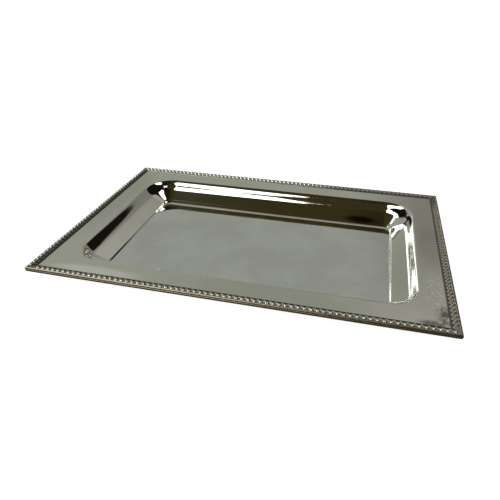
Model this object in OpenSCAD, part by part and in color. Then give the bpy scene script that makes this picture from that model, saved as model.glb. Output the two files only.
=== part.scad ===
// Rectangular serving tray: a pressed sheet pan with a wide flat rim, four mitred
// gadroon border strips soldered on the rim, and a stiffening wire inside the rolled edge.
// Millimetres, +Z up. Origin: centre of the underside of the well floor.

/* [Overall size] */
// Outside length of the tray along X
tray_length = 532; // [480:4:600]
// Outside width of the tray along Y
tray_width = 356; // [320:4:420]
// Thickness of the pressed sheet
sheet_thickness = 1; // [0.8:0.1:1.4]

/* [Rim and well] */
// Depth of the well, from the rim face to the floor face
well_depth = 30; // [24:1:40]
// Width of the flat rim at the two short ends, from the outer edge to the lip
rim_width_end = 41; // [36:1:50]
// Width of the flat rim at the two long sides
rim_width_side = 39; // [34:1:48]
// Horizontal run of the end walls, from the lip to the floor
wall_run_end = 33; // [28:1:38]
// Horizontal run of the side walls, from the lip to the floor
wall_run_side = 43.5; // [37:0.5:50]
// Corner radius of the well in plan, at the lip
lip_corner_radius = 41; // [30:1:48]
// Corner radius of the well in plan, at the floor
floor_corner_radius = 9; // [6:1:16]

/* [Rolled edge] */
// Radius of the stiffening wire inside the rolled edge
wire_radius = 0.9; // [0.7:0.1:1.2]
// Corner radius of the rolled edge in plan
edge_corner_radius = 2.4; // [2.2:0.1:4]

/* [Gadroon border] */
// Width of the border strip, from the outer edge inward
border_width = 12; // [11:0.5:14]
// Spacing of the gadroon lobes along the strip
lobe_pitch = 7.33; // [7:0.1:9]
// Radius of the round outer end of each lobe
lobe_radius = 2.5; // [2.1:0.1:2.6]
// Radius of the slim inner end of each lobe
lobe_tip_radius = 1.5; // [1.2:0.1:1.8]
// Wall left over the solder filling of a strip
strip_wall = 0.7; // [0.6:0.1:0.9]

/* [Hidden] */
$fn = 40;

SILVER = [0.74, 0.74, 0.70];
SILVER_DARK = [0.62, 0.60, 0.55];
STEEL = [0.55, 0.55, 0.56];
SOLDER = [0.58, 0.58, 0.60];

half_length = tray_length / 2;
half_width = tray_width / 2;
rim_z = well_depth + sheet_thickness;
corner_steps = 8;

// Rolled edge, measured inward from the outer edge and down from the rim face
wire_slack = 0.1;
bead_sides = 6;
bead_side_angle = 45;
cavity_radius = wire_radius + wire_slack;
bead_radius = cavity_radius + sheet_thickness;
bead_z = rim_z - bead_radius;
wire_reach_x = half_length - bead_radius - edge_corner_radius;
wire_reach_y = half_width - bead_radius - edge_corner_radius;

// Lip and wall section: fraction of the end wall run, of the side wall run, and of the depth.
// A tight roll over the lip, a steep shoulder, a gentler straight wall and the floor bend.
WALL_SECTION = [
    [0.000, 0.000, 0.000], [0.015, 0.028, 0.005], [0.036, 0.060, 0.025], [0.059, 0.092, 0.055],
    [0.079, 0.120, 0.088], [0.097, 0.143, 0.123], [0.118, 0.166, 0.167], [0.141, 0.184, 0.213],
    [0.173, 0.205, 0.277], [0.203, 0.223, 0.333], [0.235, 0.244, 0.387], [0.273, 0.271, 0.440],
    [0.324, 0.308, 0.497], [0.850, 0.702, 0.879], [0.886, 0.738, 0.905], [0.917, 0.788, 0.947],
    [0.946, 0.874, 0.985], [0.967, 0.915, 0.996], [1.000, 1.000, 1.000]];
wall_last = len(WALL_SECTION) - 1;

// Border strip section, measured inward from the outer edge and up from the rim face
STRIP_SECTION = [
    [0.4, 0.0], [0.4, 0.8], [0.8, 1.6], [1.6, 2.3], [2.6, 2.6], [3.6, 2.4], [5.2, 2.2], [7.4, 1.6],
    [9.2, 1.1], [10.4, 0.7], [border_width, 0.4], [border_width, 0.0]];
FILL_SECTION = [
    [0.4 + strip_wall, 0.0], [1.4, 1.1], [2.6, 2.6 - strip_wall], [5.1, 2.2 - strip_wall],
    [7.1, 1.6 - strip_wall], [8.4, 0.5], [9.4, 0.0]];
mitre_gap = 0.2;
lobe_lean = 45;
lobe_tilt = 5;
lobe_inset = 4.6;
lobe_height = 1.0;
lobe_length = 7.6;
lobe_root_radius = lobe_radius - 0.1;
lobe_margin_start = 18;
lobe_margin_end = 9;
bud_radius = 2.2;
bud_margin = 10.4;

function section_inset(i) = [rim_width_end + WALL_SECTION[i][0] * wall_run_end,
    rim_width_side + WALL_SECTION[i][1] * wall_run_side];
function section_drop(i) = WALL_SECTION[i][2] * well_depth;
function section_radius(i) =
    lip_corner_radius + (floor_corner_radius - lip_corner_radius) * WALL_SECTION[i][0];

// Mean slope of the two walls at a section station, level on the rim and the floor
function section_slope(i) =
    let (a = section_inset(i - 1), b = section_inset(i + 1))
    atan2(section_drop(i + 1) - section_drop(i - 1), (b[0] - a[0] + b[1] - a[1]) / 2);
function station_slope(i) = (i == 0 || i == wall_last) ? 0 : section_slope(i);

// One closed loop round the tray: a rounded rectangle inset from the outer edge
function loop(inset_end, inset_side, radius, z) = [
    for (quarter = [0:3]) for (step = [0:corner_steps])
        let (angle = 90 * quarter + 90 * step / corner_steps,
            sx = (quarter == 0 || quarter == 3) ? 1 : -1,
            sy = (quarter < 2) ? 1 : -1)
        [sx * (half_length - inset_end - radius) + radius * cos(angle),
         sy * (half_width - inset_side - radius) + radius * sin(angle), z]];

// Loop of the upper face at a section station
function upper_loop(i) =
    let (inset = section_inset(i))
    loop(inset[0], inset[1], section_radius(i), rim_z - section_drop(i));

// Loop of the lower face, one sheet thickness away across the mean slope
function lower_loop(i) =
    let (inset = section_inset(i), slope = station_slope(i), out = sheet_thickness * sin(slope))
    loop(inset[0] - out, inset[1] - out, section_radius(i) + out,
        rim_z - section_drop(i) - sheet_thickness * cos(slope));

// Loop of the rolled edge: angle 90 is the top of the roll, 180 the outer side, 270 the bottom
function bead_loop(radius, angle) =
    let (inset = bead_radius + radius * cos(angle))
    loop(inset, inset, edge_corner_radius, bead_z + radius * sin(angle));

module tray_pan() {
    loops = concat(
        [for (i = [wall_last:-1:0]) lower_loop(i)],
        [for (k = [0:bead_sides]) bead_loop(cavity_radius, 90 + bead_side_angle * k)],
        [for (k = [bead_sides:-1:0]) bead_loop(bead_radius, 90 + bead_side_angle * k)],
        [for (i = [0:wall_last]) upper_loop(i)]);
    count = len(loops[0]);
    skin = [for (j = [0:len(loops) - 2]) for (k = [0:count - 1])
        let (a = j * count + k, b = j * count + (k + 1) % count)
        [a, b, b + count, a + count]];
    floor_below = [for (k = [count - 1:-1:0]) k];
    floor_above = [for (k = [0:count - 1]) (len(loops) - 1) * count + k];
    color(SILVER)
        polyhedron(points = [for (l = loops) for (p = l) p],
            faces = concat([floor_below], skin, [floor_above]));
}

// One quarter bend of the stiffening wire
module wire_bend() {
    translate([wire_reach_x, wire_reach_y, 0])
        rotate_extrude(angle = 90) translate([edge_corner_radius, 0]) circle(r = wire_radius);
}

// The half of the wire on the +X side of the tray
module half_wire() {
    wire_bend();
    mirror([0, 1, 0]) wire_bend();
    translate([wire_reach_x + edge_corner_radius, 0, 0]) rotate([90, 0, 0])
        cylinder(h = 2 * wire_reach_y, r = wire_radius, center = true);
    for (side = [-1, 1])
        translate([0, side * (wire_reach_y + edge_corner_radius), 0]) rotate([0, 90, 0])
            cylinder(h = wire_reach_x, r = wire_radius);
}

// Steel wire bent round the tray inside the rolled edge
module edge_wire() {
    color(STEEL) translate([0, 0, bead_z]) union() {
        half_wire();
        mirror([1, 0, 0]) half_wire();
    }
}

// A section drawn inward and up, run along X and mitred at both ends.
// The outer edge lies on Y = 0 and the strip is centred on X = 0.
module mitred_run(section, length) {
    over = border_width * 2;
    intersection() {
        translate([-length / 2, 0, 0]) rotate([90, 0, 90]) linear_extrude(height = length) polygon(section);
        translate([0, 0, -1]) linear_extrude(height = over)
            polygon([[-length / 2 + mitre_gap - over, -over], [length / 2 - mitre_gap + over, -over],
                [length / 2 - mitre_gap - over, over], [-length / 2 + mitre_gap + over, over]]);
    }
}

// One gadroon: a round outer end tapering and falling inward, lying across the strip at a lean
module lobe() {
    sphere(r = lobe_radius);
    rotate([0, 0, lobe_lean]) rotate([-90 - lobe_tilt, 0, 0])
        cylinder(h = lobe_length, r1 = lobe_root_radius, r2 = lobe_tip_radius);
}

module border_strip(length) {
    first = -length / 2 + lobe_margin_start;
    last = length / 2 - lobe_margin_end;
    gaps = round((last - first) / lobe_pitch);
    difference() {
        union() {
            mitred_run(STRIP_SECTION, length);
            for (k = [0:gaps])
                translate([first + (last - first) * k / gaps, lobe_inset, lobe_height]) lobe();
            translate([-length / 2 + bud_margin, lobe_inset, lobe_height]) sphere(r = bud_radius);
        }
        translate([-length, -border_width, -border_width]) cube([length * 2, border_width * 4, border_width]);
        solder_fill(length);
    }
}

module solder_fill(length) {
    mitred_run(FILL_SECTION, length);
}

// Moves a strip drawn along X onto a side: 0 near, 1 right, 2 far, 3 left
module on_side(side) {
    reach = (side % 2 == 0) ? half_width : half_length;
    rotate([0, 0, 90 * side]) translate([0, -reach, rim_z]) children();
}

module border_near() { color(SILVER_DARK) on_side(0) border_strip(tray_length); }
module border_right() { color(SILVER_DARK) on_side(1) border_strip(tray_width); }
module border_far() { color(SILVER_DARK) on_side(2) border_strip(tray_length); }
module border_left() { color(SILVER_DARK) on_side(3) border_strip(tray_width); }

module solder_fill_near() { color(SOLDER) on_side(0) solder_fill(tray_length); }
module solder_fill_right() { color(SOLDER) on_side(1) solder_fill(tray_width); }
module solder_fill_far() { color(SOLDER) on_side(2) solder_fill(tray_length); }
module solder_fill_left() { color(SOLDER) on_side(3) solder_fill(tray_width); }

// Thin soldered joints that close the four mitres
module mitre_solder() {
    seam = mitre_gap * sqrt(2);
    stretched = [for (p = STRIP_SECTION) [p[0] * sqrt(2), p[1]]];
    color(SOLDER)
        for (corner = [[1, 1, 225], [-1, 1, 315], [-1, -1, 45], [1, -1, 135]])
            translate([corner[0] * half_length, corner[1] * half_width, rim_z])
                rotate([0, 0, corner[2]]) rotate([90, 0, 0])
                linear_extrude(height = seam, center = true) polygon(stretched);
}

tray_pan();
edge_wire();
border_near();
border_far();
border_left();
border_right();
solder_fill_near();
solder_fill_far();
solder_fill_left();
solder_fill_right();
mitre_solder();
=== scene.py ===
import math
import bpy
import numpy as np
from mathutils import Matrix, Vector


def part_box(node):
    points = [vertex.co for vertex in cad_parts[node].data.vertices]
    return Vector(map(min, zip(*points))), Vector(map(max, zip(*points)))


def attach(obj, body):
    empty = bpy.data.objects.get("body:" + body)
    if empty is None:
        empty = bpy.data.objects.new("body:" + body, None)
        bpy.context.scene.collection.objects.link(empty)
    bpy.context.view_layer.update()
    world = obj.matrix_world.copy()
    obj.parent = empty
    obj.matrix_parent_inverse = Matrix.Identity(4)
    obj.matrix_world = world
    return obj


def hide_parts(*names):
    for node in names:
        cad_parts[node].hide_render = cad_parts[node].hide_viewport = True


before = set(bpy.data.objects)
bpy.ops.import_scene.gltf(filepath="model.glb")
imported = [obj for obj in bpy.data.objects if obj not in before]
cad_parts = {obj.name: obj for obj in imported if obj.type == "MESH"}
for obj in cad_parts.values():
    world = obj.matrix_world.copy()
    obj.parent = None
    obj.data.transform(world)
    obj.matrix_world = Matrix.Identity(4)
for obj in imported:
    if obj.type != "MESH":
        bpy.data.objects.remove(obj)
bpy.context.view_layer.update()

# Sizes in millimetres, read from the frame. Outer edge, bottom of the well and rim face.
MM = 0.001


def box_mm(node):
    low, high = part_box(node)
    return [v / MM for v in low], [v / MM for v in high]


pan_low, pan_high = box_mm("tray_pan")
HALF_X, HALF_Y, RIM_Z = pan_high[0], pan_high[1], pan_high[2]
SHEET = 1.0
wire_low, wire_high = box_mm("edge_wire")
WIRE_R = (wire_high[2] - wire_low[2]) / 2
BEAD_R = WIRE_R + SHEET + 0.1
BEAD_Z = RIM_Z - BEAD_R
BEAD_TURN = 2.4
strip_low, strip_high = box_mm("border_near")
STRIP_W = 12.0
LOBE_TOP = strip_high[2] - RIM_Z

# Well: flat rim width and wall run at the ends and at the sides, depth, corner radii
RIM_END, RIM_SIDE = 41.0, 39.0
RUN_END, RUN_SIDE = 33.0, 43.5
DEPTH = RIM_Z - SHEET
LIP_R = np.array([42.0, 46.0, 36.0, 38.0])      # far right, far left, near left, near right
FLOOR_R = 9.0
# Lip and wall: fraction of the end run, of the side run and of the depth
WALL = np.array([
    (0.000, 0.000, 0.000), (0.015, 0.028, 0.005), (0.036, 0.060, 0.025), (0.059, 0.092, 0.055),
    (0.079, 0.120, 0.088), (0.097, 0.143, 0.123), (0.118, 0.166, 0.167), (0.141, 0.184, 0.213),
    (0.173, 0.205, 0.277), (0.203, 0.223, 0.333), (0.235, 0.244, 0.387), (0.273, 0.271, 0.440),
    (0.324, 0.308, 0.497), (0.820, 0.668, 0.858), (0.850, 0.702, 0.879), (0.886, 0.738, 0.905),
    (0.917, 0.788, 0.947), (0.946, 0.874, 0.985), (0.967, 0.915, 0.996), (1.000, 1.000, 1.000)])


# ---------------------------------------------------------------- mesh helpers
def curve(points, per_span):
    """A centripetal Catmull-Rom curve through the points."""
    p = np.asarray(points, float)
    p = np.vstack([2 * p[0] - p[1], p, 2 * p[-1] - p[-2]])
    out = []
    for i in range(1, len(p) - 2):
        q = p[i - 1:i + 3]
        t = np.concatenate([[0], np.cumsum(np.linalg.norm(np.diff(q, axis=0), axis=1) ** 0.5)])
        s = np.linspace(t[1], t[2], per_span, endpoint=False)[:, None]
        a = [(t[k + 1] - s) / (t[k + 1] - t[k]) * q[k] + (s - t[k]) / (t[k + 1] - t[k]) * q[k + 1]
             for k in range(3)]
        b = [(t[k + 2] - s) / (t[k + 2] - t[k]) * a[k] + (s - t[k]) / (t[k + 2] - t[k]) * a[k + 1]
             for k in range(2)]
        out.append((t[2] - s) / (t[2] - t[1]) * b[0] + (s - t[1]) / (t[2] - t[1]) * b[1])
    out.append(p[-2:-1])
    return np.vstack(out)


def make_mesh(name, verts, faces, smooth=True):
    mesh = bpy.data.meshes.new(name)
    mesh.from_pydata([tuple(v) for v in np.asarray(verts) * MM], [], faces)
    mesh.validate()
    mesh.polygons.foreach_set("use_smooth", [smooth] * len(mesh.polygons))
    mesh.update()
    ob = bpy.data.objects.new(name, mesh)
    bpy.context.scene.collection.objects.link(ob)
    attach(ob, "root")
    return ob


# ---------------------------------------------------------------- pressed sheet
CORNER = 28
STRAIGHT = 10


def loop(inset_end, inset_side, radius, z):
    """A rounded rectangle inset from the outer edge, as points in one turn from +X."""
    pts = []
    radii = np.zeros(4) + radius
    turns = ((1, 1), (-1, 1), (-1, -1), (1, -1))
    mid = [np.array([sx * (HALF_X - inset_end - r), sy * (HALF_Y - inset_side - r)])
           for (sx, sy), r in zip(turns, radii)]
    for q in range(4):
        a = np.radians(90 * q + np.linspace(0, 90, CORNER + 1))
        arc = mid[q] + radii[q] * np.stack([np.cos(a), np.sin(a)], 1)
        after = (q + 1) % 4
        b = math.radians(90 * (q + 1))
        ahead = mid[after] + radii[after] * np.array([math.cos(b), math.sin(b)])
        t = np.linspace(0, 1, STRAIGHT + 1)[1:-1, None]
        pts += [arc, arc[-1] * (1 - t) + ahead * t]
    pts = np.vstack(pts)
    return np.column_stack([pts, np.full(len(pts), z)])


def pan_loops():
    wall = curve(WALL, 5)
    inset_e = RIM_END + wall[:, 0] * RUN_END
    inset_s = RIM_SIDE + wall[:, 1] * RUN_SIDE
    drop = wall[:, 2] * DEPTH
    radius = LIP_R + (FLOOR_R - LIP_R) * wall[:, :1]
    mean = (inset_e + inset_s) / 2
    slope = np.arctan2(np.gradient(drop), np.maximum(np.gradient(mean), 1e-3))
    slope[0] = slope[-1] = 0
    upper = [loop(e, s, r, RIM_Z - d) for e, s, r, d in zip(inset_e, inset_s, radius, drop)]
    out = SHEET * np.sin(slope)
    lower = [loop(e - o, s - o, r + o, RIM_Z - d - SHEET * math.cos(a))
             for e, s, r, d, o, a in zip(inset_e, inset_s, radius, drop, out, slope)]
    turns = np.radians(np.linspace(90, 360, 37))

    def bead(r):
        return [loop(BEAD_R + r * math.cos(a), BEAD_R + r * math.cos(a), BEAD_TURN, BEAD_Z + r * math.sin(a))
                for a in turns]

    def flat(z, near_lip):
        return [loop(3.2, 3.2, 3.5, z), loop(RIM_END - near_lip, RIM_SIDE - near_lip, LIP_R + near_lip, z)]

    def sill(z):
        return [loop(RIM_END + RUN_END + 0.8, RIM_SIDE + RUN_SIDE + 0.8, FLOOR_R - 0.8, z)]

    return (sill(0.0) + lower[::-1] + flat(RIM_Z - SHEET, 0.8)[::-1] + bead(WIRE_R + 0.1)
            + bead(BEAD_R)[::-1] + flat(RIM_Z, 0.8) + upper + sill(SHEET))


def build_pan():
    loops = pan_loops()
    n = len(loops[0])
    faces = [(j * n + k, j * n + (k + 1) % n, (j + 1) * n + (k + 1) % n, (j + 1) * n + k)
             for j in range(len(loops) - 1) for k in range(n)]
    faces.append(tuple(range(n - 1, -1, -1)))
    last = (len(loops) - 1) * n
    faces.append(tuple(range(last, last + n)))
    ob = make_mesh("pan_visual", np.vstack(loops), faces)
    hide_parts("tray_pan")
    return ob


pan = build_pan()

# ---------------------------------------------------------------- gadroon border
# Section of a strip, measured inward from the outer edge and up from the rim face
STRIP = [(0.4, 0.0), (0.4, 0.8), (0.8, 1.6), (1.5, 2.2), (2.3, 2.3), (3.1, 1.5), (4.4, 0.9), (6.4, 0.7),
         (9.0, 0.6), (10.8, 0.6), (11.6, 0.45), (12.0, 0.0)]
PITCH, LEAN, TILT = 7.33, math.radians(45), math.radians(20)
MITRE_GAP = 0.2
LOBE_U, LOBE_Z, LOBE_LEN = 4.3, 1.0, 6.6
LOBE_R0, LOBE_R1 = LOBE_TOP - LOBE_Z, 1.7
STEPS_PER_LOBE = 15
END_PAD = 6.0


def lobe_height(s, u, first, count):
    """Top of the nearest leaning lobes, and how far a point lies from a lobe's crest."""
    dx, du = -math.sin(LEAN), math.cos(LEAN)
    flat = LOBE_LEN * math.cos(TILT)
    top = np.full(s.shape, -9.0)
    side = np.full(s.shape, 9.0)
    guess = np.round((s + (u - LOBE_U) - first) / PITCH)
    for shift in (-2, -1, 0, 1, 2):
        k = np.clip(guess + shift, 0, count)
        a, b = s - (first + k * PITCH), u - LOBE_U
        t = np.clip(a * dx + b * du, 0, flat) / flat
        away = np.hypot(a - t * flat * dx, b - t * flat * du)
        r = LOBE_R0 + (LOBE_R1 - LOBE_R0) * t
        z = LOBE_Z - LOBE_LEN * math.sin(TILT) * t + np.sqrt(np.maximum(r * r - away * away, 0))
        z = np.where(away < r, z, -9.0)
        top = np.maximum(top, z)
        side = np.minimum(side, away / r)
    return top, side


def build_strip(name, side, length):
    rows = curve(STRIP, 5)
    steps = int(length / PITCH * STEPS_PER_LOBE)
    t = np.linspace(-1, 1, steps + 1)
    u = rows[:, :1] + 0 * t
    half = length / 2 - MITRE_GAP - rows[:, :1]
    s = half * t
    z = rows[:, 1:] + 0 * t
    count = round((length - 27) / PITCH)
    first = -count * PITCH / 2 + 4.5
    top, away = lobe_height(s, u, first, count)
    soft = 0.18
    raised = (z + top + np.sqrt((z - top) ** 2 + soft ** 2)) / 2
    on = (u > 1.7) & (u < 11.6)
    z = np.where(on & (top > -5), np.maximum(z, raised), z)
    turn = math.radians(90 * side)
    reach = HALF_Y if side % 2 == 0 else HALF_X
    y = u - reach
    pts = np.stack([s * math.cos(turn) - y * math.sin(turn), s * math.sin(turn) + y * math.cos(turn),
                    z + RIM_Z], -1).reshape(-1, 3)
    n = steps + 1
    m = len(rows)
    faces = [(j * n + k, j * n + k + 1, (j + 1) * n + k + 1, (j + 1) * n + k)
             for j in range(m - 1) for k in range(steps)]
    faces += [(k + 1, k, (m - 1) * n + k, (m - 1) * n + k + 1) for k in range(steps)]
    faces += [tuple(j * n for j in range(m)), tuple(j * n + steps for j in range(m - 1, -1, -1))]
    ob = make_mesh(name, pts, faces)
    crest = ob.data.attributes.new("crest", "FLOAT", "POINT")
    crest.data.foreach_set("value", np.clip(1 - away, 0, 1).reshape(-1).astype(float))
    across = ob.data.attributes.new("across", "FLOAT", "POINT")
    across.data.foreach_set("value", u.reshape(-1).astype(float))
    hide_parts(name.replace("_visual", ""))
    return ob


strips = [build_strip("border_" + place + "_visual", side, 2 * (HALF_X if side % 2 == 0 else HALF_Y))
          for side, place in enumerate(("near", "right", "far", "left"))]

# ---------------------------------------------------------------- node helpers
class Nodes:
    """Short calls for building one node tree."""

    def __init__(self, tree):
        self.tree = tree
        tree.nodes.clear()

    def add(self, kind, _props=None, **inputs):
        node = self.tree.nodes.new(kind)
        for key, value in (_props or {}).items():
            setattr(node, key, value)
        for key, value in inputs.items():
            self.put(node, int(key[1:]) if key[1:].isdigit() else key.replace("_", " "), value)
        return node

    def put(self, node, key, value):
        socket = node.inputs[key]
        if isinstance(value, bpy.types.NodeSocket):
            self.tree.links.new(value, socket)
        else:
            socket.default_value = value

    def math(self, op, a, b=0.0, c=0.0):
        return self.add("ShaderNodeMath", {"operation": op}, i0=a, i1=b, i2=c).outputs[0]

    def step(self, value, low, high, a=0.0, b=1.0):
        """Smooth change from a to b while value goes from low to high."""
        node = self.add("ShaderNodeMapRange", {"interpolation_type": "SMOOTHSTEP"}, i0=value, i1=low, i2=high,
                        i3=a, i4=b)
        return node.outputs[0]

    def band(self, value, low, high, soft):
        rise = self.step(value, low - soft, low + soft)
        fall = self.step(value, high - soft, high + soft, 1.0, 0.0)
        return self.math("MULTIPLY", rise, fall)

    def mix(self, factor, a, b):
        node = self.add("ShaderNodeMix", {"data_type": "RGBA"}, i0=factor)
        self.put(node, 6, a)
        self.put(node, 7, b)
        return node.outputs[2]

    def noise(self, where, scale, detail=2.0, rough=0.5, distort=0.0):
        node = self.add("ShaderNodeTexNoise", None, Vector=where, Scale=scale, Detail=detail, Roughness=rough,
                        Distortion=distort)
        return node.outputs[0]

    def scaled(self, where, scale, turn=(0, 0, 0)):
        node = self.add("ShaderNodeMapping", None, Vector=where, Rotation=turn, Scale=scale)
        return node.outputs[0]


def rgb(r, g, b):
    return (r, g, b, 1.0)


# ---------------------------------------------------------------- surroundings
# What the polished metal mirrors, by direction: azimuth from +Y toward +X, and elevation
def build_world():
    world = bpy.data.worlds.new("studio")
    bpy.context.scene.world = world
    world.use_nodes = True
    n = Nodes(world.node_tree)
    way = n.add("ShaderNodeTexCoord").outputs["Generated"]
    axis = n.add("ShaderNodeSeparateXYZ", None, i0=way).outputs
    el = n.math("MULTIPLY", n.math("ARCSINE", axis[2]), 180 / math.pi)
    az = n.math("MULTIPLY", n.math("ARCTAN2", axis[0], axis[1]), 180 / math.pi)
    # an olive ceiling, darker to the right, above a grey backdrop in front
    ceiling = n.mix(n.step(axis[0], -0.45, -0.15), rgb(0.042, 0.039, 0.022), rgb(0.033, 0.028, 0.009))
    ceiling = n.mix(n.step(axis[0], -0.05, 0.12), ceiling, rgb(0.012, 0.008, 0.004))
    front = n.math("MULTIPLY", n.step(az, -67, -60), n.step(az, 37.4, 38.8, 1.0, 0.0))
    backdrop = n.math("MULTIPLY", n.step(el, 3, 6), n.step(el, 48, 68, 1.0, 0.0))
    grey = n.math("MULTIPLY", front, backdrop)
    level = n.math("ADD", 1.0, n.math("MULTIPLY", n.step(az, -2, 9), n.step(el, 24, 44, -0.34, 0.20)))
    paint = n.mix(n.step(az, -4, 12), rgb(0.300, 0.306, 0.262), rgb(0.302, 0.296, 0.262))
    paint = n.add("ShaderNodeVectorMath", {"operation": "SCALE"}, i0=paint, Scale=level).outputs[0]
    behind = n.step(n.math("ABSOLUTE", az), 146, 156)
    low = n.mix(behind, rgb(0.007, 0.005, 0.004), rgb(0.036, 0.027, 0.012))
    dark = n.mix(n.step(el, 46, 62), low, ceiling)
    colour = n.mix(grey, dark, paint)
    # the backdrop turns tan toward its top
    colour = n.mix(n.math("MULTIPLY", grey, n.step(el, 42, 56)), colour, rgb(0.33, 0.295, 0.22))
    # low in front: a dark strip, and a white one to the left of it
    low = n.math("MULTIPLY", n.band(el, -2, 4.5, 1.5), n.band(az, -31, 25, 1.5))
    colour = n.mix(low, colour, rgb(0.035, 0.03, 0.022))
    bottom = n.step(az, -35, -30, 0.5, 3.2)
    low = n.math("MULTIPLY", n.step(n.math("SUBTRACT", el, bottom), -0.7, 0.7), n.step(el, 5.2, 7.0, 1.0, 0.0))
    low = n.math("MULTIPLY", low, n.band(az, -38, -24.5, 1.5))
    colour = n.mix(low, colour, rgb(1.3, 1.3, 1.25))
    # bright windows round the left, back and right: lower and upper edge over azimuth;
    # an upper edge below the lower one closes the window
    stops = [(-171, 46, 42), (-169.5, 25.5, 56), (-163, 22, 57), (-156, 24.6, 58), (-150, 26, 60), (-142, 29, 61),
             (-130, 34, 61), (-104, 35, 62), (-85, 43, 63), (-70, 48, 62), (-60, 53, 59), (-54, 57, 54),
             (36, 72, 60), (44, 59, 70), (60, 57, 73), (90, 49, 71), (105, 44, 66), (112, 43, 59),
             (118, 60, 50), (126, 60, 50), (131, 20, 26), (146, 20, 26), (151, 60, 50)]
    edges = []
    for k in (1, 2):
        ramp = n.add("ShaderNodeValToRGB", None, Fac=n.math("DIVIDE", n.math("ADD", az, 180), 360))
        elements = ramp.color_ramp.elements
        while len(elements) > 1:
            elements.remove(elements[-1])
        elements[0].position = 0.0
        elements[0].color = rgb(*[stops[0][k] / 90] * 3)
        for stop in stops:
            elements.new((stop[0] + 180) / 360).color = rgb(*[stop[k] / 90] * 3)
        edges.append(n.math("MULTIPLY", ramp.outputs[0], 90))
    lamp = n.math("MULTIPLY", n.step(n.math("SUBTRACT", el, edges[0]), -0.5, 1.5),
                  n.step(n.math("SUBTRACT", edges[1], el), -0.5, 3.0))
    colour = n.mix(lamp, colour, rgb(2.6, 2.7, 2.5))
    # a grey post in front of the left window
    post = n.math("MULTIPLY", n.band(az, -71, -62, 1.5), n.band(el, 18, 58, 3))
    colour = n.mix(post, colour, rgb(0.25, 0.25, 0.22))
    shine = n.add("ShaderNodeBackground", None, Color=colour, Strength=1.0)
    plain = n.add("ShaderNodeBackground", None, Color=rgb(1, 1, 1), Strength=1.0)
    seen = n.add("ShaderNodeLightPath").outputs["Is Camera Ray"]
    both = n.add("ShaderNodeMixShader", None, i0=seen, i1=shine.outputs[0], i2=plain.outputs[0])
    n.add("ShaderNodeOutputWorld", None, Surface=both.outputs[0])


build_world()


def material(name, build):
    mat = bpy.data.materials.new(name)
    mat.use_nodes = True
    n = Nodes(mat.node_tree)
    shader = build(n)
    n.add("ShaderNodeOutputMaterial", None, Surface=shader)
    return mat


def floor_shader(n):
    base = n.add("ShaderNodeBsdfDiffuse", None, Color=rgb(0.45, 0.45, 0.45))
    glow = n.add("ShaderNodeEmission", None, Color=rgb(1, 1, 1), Strength=0.95)
    pale = n.add("ShaderNodeAddShader", None, i0=base.outputs[0], i1=glow.outputs[0])
    dim = n.add("ShaderNodeBsdfDiffuse", None, Color=rgb(0.16, 0.13, 0.09))
    seen = n.add("ShaderNodeLightPath").outputs["Is Camera Ray"]
    return n.add("ShaderNodeMixShader", None, i0=seen, i1=dim.outputs[0], i2=pale.outputs[0]).outputs[0]


def spot(n, where, centre, size):
    """1 at a centre given in metres, fading to 0 at the size of an ellipsoid round it."""
    near = n.add("ShaderNodeVectorMath", {"operation": "SUBTRACT"}, i0=where, i1=centre).outputs[0]
    near = n.add("ShaderNodeVectorMath", {"operation": "DIVIDE"}, i0=near, i1=size).outputs[0]
    far = n.add("ShaderNodeVectorMath", {"operation": "LENGTH"}, i0=near).outputs["Value"]
    return n.step(far, 0.35, 1.0, 1.0, 0.0)


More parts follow.
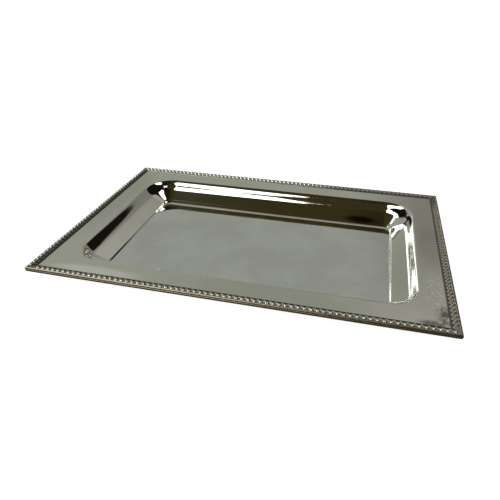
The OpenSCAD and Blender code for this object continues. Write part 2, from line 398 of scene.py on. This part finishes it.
def silver_shader(n):
    where = n.add("ShaderNodeTexCoord").outputs["Object"]
    axis = n.add("ShaderNodeSeparateXYZ", None, i0=where).outputs
    cloud = n.noise(where, 14, 4, 0.55)
    tint = n.mix(n.step(cloud, 0.35, 0.7), rgb(0.94, 0.94, 0.91), rgb(0.88, 0.88, 0.84))
    # pin-head specks and hairline scratches
    specks = n.step(n.noise(where, 170, 2, 0.6), 0.73, 0.77)
    tint = n.mix(n.math("MULTIPLY", specks, 0.5), tint, rgb(0.40, 0.38, 0.33))
    hair = n.math("MAXIMUM", n.step(n.noise(n.scaled(where, (18, 900, 30), (0, 0, 0.5)), 1.0, 2, 0.5), 0.70, 0.78),
                  n.step(n.noise(n.scaled(where, (900, 14, 60), (0, 0, 0.35)), 1.0, 2, 0.5), 0.70, 0.78))
    # smudges: on the rim at the near right corner, on the far wall, on the left rim; also lighter rough patches
    # with painted sheen and dim patches of painted shade
    fine = n.noise(where, 120, 4, 0.7)
    smudge = n.math("MAXIMUM", spot(n, where, (0.251, -0.148, 0.031), (0.014, 0.024, 0.0012)),
                    n.math("MULTIPLY", spot(n, where, (0.236, -0.163, 0.031), (0.022, 0.008, 0.0012)), 0.8))
    smudge = n.math("MULTIPLY", smudge, n.step(fine, 0.36, 0.56))
    soot = n.math("MULTIPLY", spot(n, where, (0.147, 0.110, 0.007), (0.036, 0.014, 0.006)),
                  n.step(fine, 0.30, 0.48))
    # scuffed and hazed patches: rougher, and lightened in colour as a painted brighter reflection
    scuff_and_sheen = n.math("MULTIPLY", spot(n, where, (0.243, -0.105, 0.031), (0.020, 0.065, 0.0012)),
                   n.step(n.noise(where, 260, 4, 0.75), 0.46, 0.60))
    haze_and_sheen = n.math("MULTIPLY", spot(n, where, (-0.175, -0.160, 0.031), (0.10, 0.016, 0.0012)), 0.95)
    # painted shade: darker patches on the left, right and near rim and on the right wall
    painted_dim_patches = n.math("MAXIMUM", spot(n, where, (-0.246, 0.060, 0.031), (0.030, 0.17, 0.01)),
                  spot(n, where, (0.244, 0.010, 0.031), (0.022, 0.08, 0.01)))
    painted_dim_patches = n.math("MAXIMUM", painted_dim_patches, spot(n, where, (0.040, -0.158, 0.031), (0.17, 0.05, 0.01)))
    painted_dim_patches = n.math("MAXIMUM", painted_dim_patches, spot(n, where, (0.206, -0.030, 0.015), (0.026, 0.13, 0.025)))
    # the well floor is a little cooler than the rest
    cool = n.step(axis[2], 0.0014, 0.0030, 0.75, 0.0)
    tint = n.mix(cool, tint, n.mix(n.step(cloud, 0.36, 0.64), rgb(0.93, 0.965, 0.98), rgb(0.835, 0.855, 0.90)))
    # painted shade: darken the dim patches, more where the cloud noise is high
    tint = n.mix(n.math("MULTIPLY", painted_dim_patches, n.step(cloud, 0.25, 0.6, 0.5, 1.0)), tint, rgb(0.77, 0.78, 0.74))
    # brown on the rolled edge: a painted reflection of a brown tabletop
    out_x = n.step(n.math("ABSOLUTE", axis[0]), HALF_X * MM - 0.0036, HALF_X * MM - 0.0024)
    out_y = n.step(n.math("ABSOLUTE", axis[1]), HALF_Y * MM - 0.0036, HALF_Y * MM - 0.0024)
    edge = n.math("MAXIMUM", out_x, out_y)
    tint = n.mix(n.math("MULTIPLY", edge, 0.9), tint, n.mix(fine, rgb(0.27, 0.215, 0.15), rgb(0.17, 0.135, 0.09)))
    tint = n.mix(n.math("MULTIPLY", smudge, 0.85), tint, rgb(0.07, 0.065, 0.06))
    tint = n.mix(n.math("MULTIPLY", soot, 0.9), tint, rgb(0.05, 0.02, 0.02))
    # painted sheen: the scuffed and hazed patches lightened
    tint = n.mix(n.math("MULTIPLY", n.math("MAXIMUM", scuff_and_sheen, haze_and_sheen), 0.6), tint, rgb(0.98, 0.97, 0.95))
    rough = n.step(n.noise(where, 30, 5, 0.65), 0.3, 0.75, 0.04, 0.09)
    worn = n.math("MAXIMUM", n.math("MULTIPLY", hair, 0.14), n.math("MULTIPLY", edge, 0.30))
    worn = n.math("MAXIMUM", worn, n.math("MULTIPLY", n.math("MAXIMUM", scuff_and_sheen, haze_and_sheen), 0.55))
    rough = n.math("ADD", rough, worn)
    wave = n.noise(where, 8, 1, 0.4)
    ripple = n.noise(where, 55, 2, 0.5)
    height = n.math("ADD", n.math("MULTIPLY", wave, 0.0007), n.math("MULTIPLY", ripple, 0.000018))
    bump = n.add("ShaderNodeBump", None, Strength=1.0, Distance=1.0, Height=height)
    node = n.add("ShaderNodeBsdfPrincipled", None, Metallic=1.0, Roughness=rough, Normal=bump.outputs[0])
    n.put(node, "Base Color", tint)
    return node.outputs[0]


# For each strip, as lit and shaded copies of one finish: how dark its inner slope (painted shade), its gaps
# (tarnish deepened by painted shade) and its inner seam (painted shade) are, how strong the painted reflection
# of a brown tabletop on its outer face is, how speckled and how rough its lobes are, and how bright they are
STRIP_TARNISH_AND_SHADE = {"near": (0.20, 1.00, 0.50, 0.78, 0.05, 0.17, 1.00),
        "right": (0.00, 0.85, 0.95, 1.00, 0.40, 0.20, 1.00),
        "far": (0.00, 0.60, 0.00, 0.70, 0.05, 0.12, 1.00),
        "left": (1.00, 1.00, 0.85, 0.55, 0.20, 0.07, 1.00)}


def border_shader(n, inner_slope_shade, gap_tarnish_and_shade, seam_shade, face_table_reflection, speckle, lobe_rough, shade):
    where = n.add("ShaderNodeTexCoord").outputs["Object"]
    crest = n.add("ShaderNodeAttribute", {"attribute_name": "crest"}).outputs["Fac"]
    across = n.add("ShaderNodeAttribute", {"attribute_name": "across"}).outputs["Fac"]
    spots = n.noise(where, 420, 3, 0.65)
    # gaps between lobes: tarnish in the hollows, darkened further as painted shade
    pit = n.step(n.math("ADD", crest, n.math("MULTIPLY", spots, 0.22)), 0.12, 0.42, gap_tarnish_and_shade, 0.0)
    tarnish_and_painted_shade = n.math("MULTIPLY", pit, n.step(across, 2.2, 3.0))
    # painted shade: the inner slope darkened, by a different amount on each strip
    slope = n.math("MULTIPLY", n.step(n.math("ADD", across, n.math("MULTIPLY", spots, 1.5)), 5.2, 7.2), inner_slope_shade)
    # painted shade: a dark line along the strip's inner step onto the rim
    seam = n.step(across, 11.1, 11.6, 0.0, seam_shade)
    tarnish_and_painted_shade = n.math("MAXIMUM", tarnish_and_painted_shade, n.math("MAXIMUM", slope, seam))
    fleck = n.math("MULTIPLY", n.step(n.noise(where, 900, 2, 0.6), 0.42, 0.60), speckle)
    tarnish_and_painted_shade = n.math("MAXIMUM", tarnish_and_painted_shade, n.math("MULTIPLY", fleck, 0.8))
    axis = n.add("ShaderNodeSeparateXYZ", None, i0=where).outputs
    # painted shade: the right half of the far strip darkened by position
    far_right_painted_shade = n.math("MULTIPLY", n.step(axis[0], 0.02, 0.11), n.step(axis[1], 0.12, 0.15))
    tarnish_and_painted_shade = n.math("MAXIMUM", tarnish_and_painted_shade, n.math("MULTIPLY", far_right_painted_shade, n.step(across, 3.0, 4.5, 0.35, 0.85)))
    # painted reflection: the outer face tinted brown as if mirroring a brown tabletop
    face = n.math("MULTIPLY", n.step(across, 1.9, 2.8, 1.0, 0.0), face_table_reflection)
    clean = n.mix(n.step(n.noise(where, 60, 3), 0.35, 0.7), rgb(0.98 * shade, 0.95 * shade, 0.88 * shade),
                  rgb(0.92 * shade, 0.87 * shade, 0.76 * shade))
    # darken toward near-black by tarnish, flecks and painted shade together
    colour = n.mix(n.math("MULTIPLY", tarnish_and_painted_shade, 0.93), clean, rgb(0.014, 0.010, 0.007))
    # the brown of the painted tabletop reflection
    brown = n.mix(n.noise(where, 150, 3), rgb(0.28, 0.215, 0.14), rgb(0.19, 0.14, 0.09))
    colour = n.mix(face, colour, brown)
    rough = n.math("ADD", lobe_rough, n.math("MULTIPLY", n.math("MAXIMUM", tarnish_and_painted_shade, face), 0.25))
    node = n.add("ShaderNodeBsdfPrincipled", None, Metallic=1.0, Roughness=rough)
    n.put(node, "Base Color", colour)
    return node.outputs[0]


def wire_shader(n):
    where = n.add("ShaderNodeTexCoord").outputs["Object"]
    colour = n.mix(n.noise(where, 90, 3), rgb(0.50, 0.49, 0.47), rgb(0.30, 0.26, 0.21))
    node = n.add("ShaderNodeBsdfPrincipled", None, Metallic=1.0, Roughness=0.38)
    n.put(node, "Base Color", colour)
    return node.outputs[0]


def solder_shader(n):
    where = n.add("ShaderNodeTexCoord").outputs["Object"]
    colour = n.mix(n.noise(where, 160, 3), rgb(0.55, 0.54, 0.52), rgb(0.36, 0.35, 0.33))
    node = n.add("ShaderNodeBsdfPrincipled", None, Metallic=1.0, Roughness=0.45)
    n.put(node, "Base Color", colour)
    return node.outputs[0]


silver = material("silver plate", silver_shader)
wire_metal = material("steel wire", wire_shader)
solder_metal = material("soft solder", solder_shader)
pan.data.materials.append(silver)
for strip in strips:
    place = strip.name.split("_")[1]
    strip.data.materials.append(material("gadroon " + place, lambda n: border_shader(n, *STRIP_TARNISH_AND_SHADE[place])))
for node, metal in [("edge_wire", wire_metal), ("mitre_solder", solder_metal)] + [
        ("solder_fill_" + place, solder_metal) for place in ("near", "far", "left", "right")]:
    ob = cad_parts[node]
    ob.data.materials.clear()
    ob.data.materials.append(metal)

# ---------------------------------------------------------------- floor
bpy.ops.mesh.primitive_plane_add(size=60, location=(0, 0, 0))
floor = bpy.context.object
floor.name = "floor"
floor.data.materials.append(material("pale floor", floor_shader))

bpy.context.scene.view_settings.view_transform = "Standard"

# ---------------------------------------------------------------- camera
cam_data = bpy.data.cameras.new("camera")
cam = bpy.data.objects.new("camera", cam_data)
bpy.context.scene.collection.objects.link(cam)
cam.location = (0.1401, -0.5844, 0.3640)
cam.rotation_euler = [math.radians(a) for a in (58.275, -0.061, 13.900)]
cam_data.sensor_width = 36.0
cam_data.lens = 33.272
cam_data.shift_x = -0.0105
cam_data.clip_start = 0.01
bpy.context.scene.camera = cam
